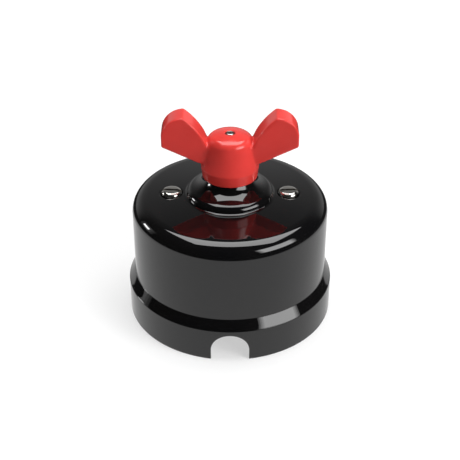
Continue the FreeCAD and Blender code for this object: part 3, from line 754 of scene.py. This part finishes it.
    def seat_cutter(self, x: float) -> Workpiece:
        """Makes the stepped plug that cuts a screw's hole and the seat of its head.

        Args:
            x: Where the screw stands.

        Returns:
            The cutter.
        """
        floor = self.body_height - self.seat_depth
        crown = self.top_centres()[1]
        lean = math.asin((self.seat_x - crown.x) / self.crown_radius)
        top = crown.y + self.crown_radius * math.cos(lean)
        mesh = bmesh.new()
        pen = ProfilePen(mesh, 0.0, top - 2 * self.roof)
        pen.line(self.screw_hole, top - 2 * self.roof)
        pen.line(self.screw_hole, floor)
        pen.line(self.seat_radius, floor, 2)
        pen.line(self.seat_radius, top - self.seat_edge)
        pen.arc((self.seat_radius + self.seat_edge, top - self.seat_edge), -self.rim_steps[-1], 5)
        pen.line(self.seat_radius + 1.5 * self.seat_edge, top + 0.2 * self.seat_edge)
        pen.line(self.seat_radius, top + self.seat_edge)
        pen.line(0.0, top + self.seat_edge)
        Workpiece.turn(mesh, self.seat_segments)
        half_step = Matrix.Rotation(math.pi / self.seat_segments, 3, "Z")
        bmesh.ops.rotate(mesh, verts=mesh.verts, matrix=half_step)
        outward = math.copysign(math.tan(lean), x)
        for vertex in mesh.verts:
            if vertex.co.z > floor + self.seat_edge:
                vertex.co.z -= outward * vertex.co.x
        bmesh.ops.translate(mesh, verts=mesh.verts, vec=(x, 0.0, 0.0))
        return Workpiece("seat_cutter", mesh)


@dataclass
class ButterflyKnob:
    """The red moulded knob: a flared hub and two wings in one piece."""

    foot_z: float = 50.1
    lip_foot_radius: float = 9.2
    lip_radius: float = 9.6
    lip_rise: float = 3.9
    lip_edge: float = 0.5
    hub_shoulder_radius: float = 7.6
    hub_shoulder_rise: float = 12.75
    hub_flare_bow: float = 0.05
    crown_radius: float = 2.8
    dome_angle: float = 16.0
    wing_span: float = 44.4
    wing_thickness: float = 8.0
    wing_edge: float = 0.5
    wing_corner: float = 0.3
    wing_root: Span = (8.4, 5.5)
    wing_tip_rise: float = 12.2
    wing_side_rise: float = 16.6
    wing_peak: Span = (14.95, 22.55)
    wing_tip_bow: float = 1.65
    wing_saddle: Span = (7.5, 12.8)
    wing_saddle_bow: float = 0.8
    wing_saddle_blend: float = 1.2
    wing_heart: float = 5.4
    recess_radius: float = 1.65
    recess_depth: float = 1.4
    screw_hole: float = 1.25
    web: float = 2.8
    insert_bore: float = 4.62
    segments: int = 192
    voxel: float = 0.195
    smoothing: int = 3
    root_reaches: tuple[float, ...] = (2.6, 2.0, 1.4)
    root_rounds: int = 10
    corner_angle: float = 15.0
    crease: float = 60.0

    def build(self, material: Material) -> Thing:
        """Models the knob.

        Args:
            material: The red moulding.

        Returns:
            The finished knob.
        """
        mesh = bmesh.new()
        self.draw_hub(mesh)
        Workpiece.turn(mesh, self.segments)
        for side in (1, -1):
            self.add_wing(mesh, side)
        piece = Workpiece("butterfly_knob", mesh)
        piece.fuse(self.voxel)
        piece.soften(self.root_distance, math.inf, self.smoothing)
        for reach in self.root_reaches:
            piece.soften(self.root_distance, reach, self.root_rounds)
        return piece.finish(self.crease, material)

    def root_distance(self, place: Vector) -> float:
        """Measures how far a point is from the creases between the wings' flanks and the hub.

        Args:
            place: The point in millimetres.

        Returns:
            The distance in millimetres.
        """
        rise = place.z - self.foot_z
        share = (rise - self.lip_rise) / (self.hub_shoulder_rise - self.lip_rise)
        hub = self.lip_radius + (self.hub_shoulder_radius - self.lip_radius) * share
        below = max(0.0, self.wing_root[1] - rise)
        above = max(0.0, rise - self.wing_saddle[1])
        flank = abs(place.y) - self.wing_thickness / 2
        return math.hypot(math.hypot(place.x, place.y) - hub, flank, below, above)

    def draw_hub(self, mesh: Mesh) -> None:
        """Draws the hub's section: lip, flare, crown, screw recess and the bore for the insert.

        Args:
            mesh: The bmesh to draw in.
        """
        z = self.foot_z
        shoulder_z = z + self.hub_shoulder_rise
        inwards = self.lip_radius - self.hub_shoulder_radius
        upwards = self.hub_shoulder_rise - self.lip_rise
        turn = 2 * math.atan(2 * self.hub_flare_bow / math.hypot(inwards, upwards))
        crown_start = math.atan2(inwards, upwards) - turn
        crown_x = self.hub_shoulder_radius - self.crown_radius * math.cos(crown_start)
        crown_z = shoulder_z - self.crown_radius * math.sin(crown_start)
        dome_start = math.radians(90.0 - self.dome_angle)
        dome_radius = (crown_x + self.crown_radius * math.cos(dome_start)) / math.cos(dome_start)
        dome_z = crown_z + (self.crown_radius - dome_radius) * math.sin(dome_start)
        dome_end = math.acos(self.recess_radius / dome_radius)
        recess_floor = dome_z + dome_radius - self.recess_depth
        bore_top = recess_floor - self.web
        pen = ProfilePen(mesh, self.insert_bore, z)
        pen.line(self.lip_foot_radius - self.lip_edge, z, 4)
        pen.arc((self.lip_foot_radius - self.lip_edge, z + self.lip_edge), 90.0, 6)
        pen.line(self.lip_radius, z + self.lip_rise, 6)
        pen.bow(self.hub_shoulder_radius, shoulder_z, self.hub_flare_bow, 16)
        pen.arc((crown_x, crown_z), math.degrees(dome_start - crown_start), 20)
        pen.arc((0.0, dome_z), math.degrees(dome_end - dome_start), 8)
        pen.line(self.recess_radius, recess_floor, 3)
        pen.line(self.screw_hole, recess_floor)
        pen.line(self.screw_hole, bore_top, 3)
        pen.line(self.insert_bore, bore_top, 3)
        pen.close()

    def add_wing(self, mesh: Mesh, side: int) -> None:
        """Adds one wing with its corners and rim rounded.

        Args:
            mesh: The knob's bmesh.
            side: 1 for the wing on the +X side, -1 for the other.
        """
        wing = bmesh.new()
        self.draw_wing(wing)
        bmesh.ops.contextual_create(wing, geom=wing.edges)
        grown = bmesh.ops.extrude_face_region(wing, geom=wing.faces)["geom"]
        back = [item for item in grown if isinstance(item, bmesh.types.BMVert)]
        bmesh.ops.translate(wing, verts=back, vec=(0.0, self.wing_thickness, 0.0))
        bmesh.ops.translate(wing, verts=wing.verts, vec=(0.0, -self.wing_thickness / 2, 0.0))
        Workpiece.tidy(wing)
        self.round_over(wing)
        if side < 0:
            bmesh.ops.rotate(wing, verts=wing.verts, matrix=Matrix.Rotation(math.pi, 3, "Z"))
        piece = Workpiece("wing", wing)
        mesh.from_mesh(piece.thing.data)
        piece.discard()

    def draw_wing(self, wing: Mesh) -> None:
        """Draws the outline of the wing on the +X side.

        Args:
            wing: The bmesh to draw in.
        """
        z = self.foot_z
        reach = self.wing_span / 2
        slope = (self.wing_tip_rise - self.wing_root[1]) / (reach - self.wing_root[0])
        fall = Vector(self.wing_saddle) - Vector(self.wing_peak)
        turn = 2 * math.atan(2 * self.wing_saddle_bow / fall.length)
        heading = math.atan2(fall.y, fall.x) + turn
        blend_x = self.wing_saddle[0] + self.wing_saddle_blend * math.sin(heading)
        blend_z = z + self.wing_saddle[1] - self.wing_saddle_blend * math.cos(heading)
        heart_z = z + self.wing_root[1] + slope * (self.wing_heart - self.wing_root[0])
        pen = ProfilePen(wing, self.wing_heart, heart_z)
        pen.line(reach, z + self.wing_tip_rise)
        pen.line(reach, z + self.wing_side_rise)
        pen.bow(self.wing_peak[0], z + self.wing_peak[1], -self.wing_tip_bow, 14)
        pen.bow(self.wing_saddle[0], z + self.wing_saddle[1], -self.wing_saddle_bow, 18)
        pen.arc((blend_x, blend_z), -180.0 - math.degrees(heading), 8)
        pen.line(self.wing_heart, blend_z - self.wing_saddle_blend)
        pen.close()

    def round_over(self, wing: Mesh) -> None:
        """Rounds the wing's three outer corners, then its front and back rims.

        Args:
            wing: The wing's bmesh.
        """
        even = {"offset_type": "OFFSET", "affect": "EDGES", "profile": 0.5, "material": -1}
        corners = [
            edge for edge in wing.edges
            if abs(edge.verts[0].co.y - edge.verts[1].co.y) > self.wing_edge
            and edge.verts[0].co.x > self.wing_root[0]
            and edge.calc_face_angle(0.0) > math.radians(self.corner_angle)
        ]
        bmesh.ops.bevel(wing, geom=corners, offset=self.wing_corner, segments=4, **even)
        rim = [
            edge for edge in wing.edges
            if abs(edge.verts[0].co.y - edge.verts[1].co.y) < self.wing_edge
            and max(vertex.co.x for vertex in edge.verts) > self.wing_heart + self.wing_edge
        ]
        bmesh.ops.bevel(wing, geom=rim, offset=self.wing_edge, segments=5, **even)


@dataclass
class SlottedScrew:
    """A bright slotted screw with an eased, slightly domed head."""

    head: float
    rise: float
    dome: float
    ease: float
    slot_width: float
    slot_depth: float
    thread: float
    length: float
    seat_z: float
    segments: int = 128

    def add(self, mesh: Mesh, x: float, turn: float) -> None:
        """Adds the screw to a bmesh.

        Args:
            mesh: The bmesh that takes it.
            x: Where it stands.
            turn: The angle of its slot in degrees.
        """
        body = bmesh.new()
        self.draw_outline(body)
        Workpiece.turn(body, self.segments)
        screw = Workpiece("screw", body)
        screw.cut(self.slot_cutter())
        place = Matrix.Translation((x, 0.0, self.seat_z)) @ Matrix.Rotation(math.radians(turn), 4, "Z")
        screw.thing.data.transform(place)
        mesh.from_mesh(screw.thing.data)
        screw.discard()

    def draw_outline(self, body: Mesh) -> None:
        """Draws half of the screw's section with the seat of its head at z = 0.

        Args:
            body: The bmesh to draw in.
        """
        radius = self.head / 2
        tip = 0.2 * self.thread
        pen = ProfilePen(body, 0.0, -self.length)
        pen.line(self.thread / 2 - tip, -self.length)
        pen.line(self.thread / 2, tip - self.length)
        pen.line(self.thread / 2, 0.0, 4)
        pen.line(radius, 0.0, 2)
        pen.line(radius, self.rise - self.ease, 3)
        pen.arc((radius - self.ease, self.rise - self.ease), 90.0, 14)
        pen.bow(0.0, self.rise + self.dome, -0.1 * self.dome, 10)

    def slot_cutter(self) -> Workpiece:
        """Makes the bar that cuts the slot.

        Returns:
            The cutter.
        """
        mesh = bmesh.new()
        bmesh.ops.create_cube(mesh, size=1.0)
        bmesh.ops.scale(mesh, verts=mesh.verts, vec=(2 * self.head, self.slot_width, 2 * self.slot_depth))
        bmesh.ops.translate(mesh, verts=mesh.verts, vec=(0.0, 0.0, self.rise + self.dome))
        return Workpiece("slot_cutter", mesh)


@dataclass
class ScrewSet:
    """Screws that are one node of the part."""

    name: str
    screw: SlottedScrew
    places: tuple[Span, ...]
    crease: float = 50.0

    def build(self, material: Material) -> Thing:
        """Models the screws.

        Args:
            material: The plating.

        Returns:
            The finished screws as one piece.
        """
        mesh = bmesh.new()
        for x, turn in self.places:
            self.screw.add(mesh, x, turn)
        return Workpiece(self.name, mesh).finish(self.crease, material)


class InnerWorks:
    """The nodes that keep their CAD shape: base, bearings, contacts and the rotor inside."""

    def __init__(self, nodes: dict[str, Thing], record: dict) -> None:
        """Takes the frame's nodes and reads which slot each one has.

        Args:
            nodes: The CAD objects by name.
            record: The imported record.
        """
        self.nodes = nodes
        self.slots = {part["node"]: Slot(part["material_slot"]) for part in record["subparts"]}

    def dress(self, materials: dict[Slot, Material]) -> None:
        """Gives each node the finish of its slot.

        Args:
            materials: The materials by slot.
        """
        for name, thing in self.nodes.items():
            slot = self.slots[name]
            for holder in thing.material_slots:
                holder.material = materials[slot]
            if not thing.material_slots:
                thing.data.materials.append(materials[slot])
            log.info("%s: dressed in %s", name, slot.value)


@dataclass
class SoftBox:
    """A rectangular studio light that faces the switch."""

    name: str
    azimuth: float
    elevation: float
    width: float
    height: float
    radiance: float
    distance: float = 1.0
    shift: float = 0.0
    mirrored: bool = True
    feather: float = 0.0
    layers: int = 1
    spacing: float = 0.005

    def build(self, target: Vector) -> None:
        """Hangs the light, in layers of rising width where its sides are feathered.

        Args:
            target: The point it faces.
        """
        for layer in range(self.layers):
            wider = 2.0 * self.feather * ((layer + 0.5) / self.layers - 0.5)
            self.hang(target, self.distance + self.spacing * layer, self.width + wider)
        log.info("%s: %.2f by %.2f m", self.name, self.width, self.height)

    def hang(self, target: Vector, distance: float, width: float) -> None:
        """Hangs one layer of the light.

        Args:
            target: The point it faces.
            distance: How far it hangs from there, in metres.
            width: Its width in metres.
        """
        light = bpy.data.lights.new(self.name, "AREA")
        light.shape = "RECTANGLE"
        light.size = width
        light.size_y = self.height
        light.energy = self.radiance / self.layers * math.pi * width * self.height
        azimuth = math.radians(self.azimuth)
        elevation = math.radians(self.elevation)
        flat = distance * math.cos(elevation)
        rise = distance * math.sin(elevation)
        offset = Vector((flat * math.sin(azimuth), -flat * math.cos(azimuth), rise))
        lamp = bpy.data.objects.new(self.name, light)
        lamp.location = target + offset + Vector((self.shift, 0.0, 0.0))
        lamp.rotation_euler = (-offset).to_track_quat("-Z", "Y").to_euler()
        lamp.visible_camera = False
        lamp.visible_glossy = self.mirrored
        bpy.context.scene.collection.objects.link(lamp)


@dataclass
class Studio:
    """Floor, lights, surroundings and the camera of the photograph."""

    look_at: Place = (0.0, 0.0, 0.02835)
    camera_elevation: float = 32.68
    camera_distance: float = 0.3622
    lens: float = 82.86
    sensor: float = 36.0
    near: float = 0.01
    floor_radius: float = 6.0
    floor_white: float = 0.6
    floor_glow: float = 0.55
    floor_lit: float = 0.42
    floor_fade: Span = (0.2, 0.8)
    table_edge: Span = (0.086, 0.108)
    table_squeeze: Place = (0.65, 1.0, 1.0)
    table_mirrored: float = 0.8
    dusk: float = 0.03
    fill: float = 0.155
    behind: float = 0.6
    behind_high: float = 0.09
    behind_heights: Span = (0.2, 0.645)
    rear_edge: Span = (0.45, 0.8)

    def build(self) -> None:
        """Sets up the whole studio."""
        self.build_floor()
        self.build_surroundings()
        target = Vector(self.look_at)
        for box in (
            SoftBox("overhead_box", 180.0, 79.0, width=1.11, height=0.77, radiance=4.7, shift=0.085),
            SoftBox("right_box", 55.0, 25.0, width=0.71, height=0.46, radiance=5.5, feather=0.15, layers=4),
            SoftBox("key_lamp", 62.0, 32.0, width=0.3, height=0.3, radiance=10.0, mirrored=False),
            SoftBox("left_lamp", -107.0, 13.5, width=0.18, height=0.15, radiance=13.0),
            SoftBox("left_halo", -105.0, 13.5, width=0.26, height=0.4, radiance=0.7, feather=0.2, layers=3),
        ):
            box.build(target)
        self.build_camera()
        bpy.context.scene.view_settings.view_transform = "Standard"

    def seen_rays(self, sheet: Sheet) -> tuple[Node, Node]:
        """Adds the masks of the rays that see the studio.

        Args:
            sheet: The node tree that needs them.

        Returns:
            The node that marks camera and transmission rays, and the one that marks glossy rays.
        """
        path = sheet.add("LightPath")
        straight = sheet.add("Math", operation="MAXIMUM")
        mirrored = sheet.add("Math", operation="SUBTRACT", use_clamp=True)
        sheet.link(path, "Is Camera Ray", straight, 0)
        sheet.link(path, "Is Transmission Ray", straight, 1)
        sheet.link(path, "Is Glossy Ray", mirrored, 0)
        sheet.link(straight, "Value", mirrored, 1)
        return straight, mirrored

    def build_floor(self) -> None:
        """Lays the floor: plain for its bounce, white with a soft shadow where it is seen."""
        mesh = bmesh.new()
        bmesh.ops.create_circle(mesh, cap_ends=True, segments=96, radius=self.floor_radius)
        floor = Workpiece("floor", mesh).thing
        made = bpy.data.materials.new("white_floor")
        made.use_nodes = True
        sheet = Sheet(made.node_tree)
        white = (*[self.floor_white] * 3, 1.0)
        lit = (*[self.floor_lit] * 3, 1.0)
        plain = sheet.add("BsdfDiffuse", {"Color": white})
        shaded = sheet.add("BsdfDiffuse", {"Color": lit})
        glow = sheet.add("Emission")
        place = sheet.add("TexCoord")
        distance = sheet.add("VectorMath", operation="LENGTH")
        squeeze = sheet.add("VectorMath", {1: self.table_squeeze}, operation="MULTIPLY")
        reach = sheet.add("VectorMath", operation="LENGTH")
        far = sheet.ramp(self.floor_fade, (self.floor_glow, 1.0), "LINEAR")
        table = sheet.ramp(self.table_edge, (self.table_mirrored, self.dusk), "SMOOTHSTEP")
        mirror_glow = sheet.add("Emission")
        both = sheet.add("AddShader")
        straight_mix = sheet.add("MixShader")
        mirror_mix = sheet.add("MixShader")
        result = sheet.add("OutputMaterial")
        straight, mirrored = self.seen_rays(sheet)
        sheet.link(place, "Object", distance, 0)
        sheet.link(distance, "Value", far, "Value")
        sheet.link(place, "Object", squeeze, 0)
        sheet.link(squeeze, "Vector", reach, 0)
        sheet.link(reach, "Value", table, "Value")
        sheet.link(far, "Result", glow, "Strength")
        sheet.link(table, "Result", mirror_glow, "Strength")
        sheet.link(shaded, "BSDF", both, 0)
        sheet.link(glow, "Emission", both, 1)
        sheet.link(straight, "Value", straight_mix, "Fac")
        sheet.link(plain, "BSDF", straight_mix, 1)
        sheet.link(both, "Shader", straight_mix, 2)
        sheet.link(mirrored, "Value", mirror_mix, "Fac")
        sheet.link(straight_mix, "Shader", mirror_mix, 1)
        sheet.link(mirror_glow, "Emission", mirror_mix, 2)
        sheet.link(mirror_mix, "Shader", result, "Surface")
        floor.data.materials.append(made)

    def build_surroundings(self) -> None:
        """Paints the room: white behind all that is seen, dusky in the glaze, grey behind the switch."""
        world = bpy.data.worlds.new("studio")
        bpy.context.scene.world = world
        world.use_nodes = True
        sheet = Sheet(world.node_tree)
        place = sheet.add("TexCoord")
        axes = sheet.add("SeparateXYZ")
        height = sheet.ramp(self.behind_heights, (self.behind, self.behind_high), "LINEAR")
        rear = sheet.ramp(self.rear_edge, (0.0, 1.0), "SMOOTHSTEP")
        room = sheet.add("Mix", {2: self.dusk}, data_type="FLOAT")
        unseen = sheet.add("Mix", {2: self.fill}, data_type="FLOAT")
        seen = sheet.add("Mix", {3: 1.0}, data_type="FLOAT")
        sky = sheet.add("Background")
        result = sheet.add("OutputWorld")
        straight, mirrored = self.seen_rays(sheet)
        sheet.link(place, "Generated", axes, "Vector")
        sheet.link(axes, "Z", height, "Value")
        sheet.link(axes, "Y", rear, "Value")
        sheet.link(rear, "Result", room, 0)
        sheet.link(height, "Result", room, 3)
        sheet.link(mirrored, "Value", unseen, 0)
        sheet.link(room, 0, unseen, 3)
        sheet.link(straight, "Value", seen, 0)
        sheet.link(unseen, 0, seen, 2)
        sheet.link(seen, 0, sky, "Strength")
        sheet.link(sky, "Background", result, "Surface")

    def build_camera(self) -> None:
        """Sets up the camera in front of the switch, looking down on it."""
        data = bpy.data.cameras.new("camera")
        data.lens = self.lens
        data.sensor_width = self.sensor
        data.clip_start = self.near
        camera = bpy.data.objects.new("camera", data)
        rise = math.radians(self.camera_elevation)
        camera.location = (
            self.look_at[0],
            self.look_at[1] - self.camera_distance * math.cos(rise),
            self.look_at[2] + self.camera_distance * math.sin(rise),
        )
        camera.rotation_euler = (math.pi / 2 - rise, 0.0, 0.0)
        bpy.context.scene.collection.objects.link(camera)
        bpy.context.scene.camera = camera


def main() -> None:
    """Builds the pieces, dresses them and sets up the studio."""
    materials = {slot: finish.material() for slot, finish in FINISHES.items()}
    InnerWorks(frame["nodes"], frame["record"]).dress(materials)

    cover = PorcelainCover()
    cover_screw = SlottedScrew(
        head=6.9, rise=2.3, dome=0.05, ease=1.25, slot_width=1.1, slot_depth=1.0, thread=4.0, length=9.35,
        seat_z=42.05,
    )
    cover_screws = ScrewSet("cover_screw_pair", cover_screw, ((-cover.seat_x, -6.0), (cover.seat_x, 3.0)))
    knob_screw = SlottedScrew(
        head=2.7, rise=1.2, dome=0.12, ease=0.3, slot_width=0.55, slot_depth=0.6, thread=2.0, length=7.35,
        seat_z=64.5,
    )
    knob_screws = ScrewSet("knob_fixing_screw", knob_screw, ((0.0, 0.0),))
    for piece, body, slot, node in (
        (cover, Body.HOUSING, Slot.BLACK_PORCELAIN, "cover"),
        (ButterflyKnob(), Body.ROTOR, Slot.RED_PLASTIC, "knob"),
        (cover_screws, Body.HOUSING, Slot.BRIGHT_NICKEL, "cover_screws"),
        (knob_screws, Body.ROTOR, Slot.BRIGHT_NICKEL, "knob_screw"),
    ):
        place_piece(piece.build(materials[slot]), body, node)

    Studio().build()


if __name__ == "__main__":
    main()
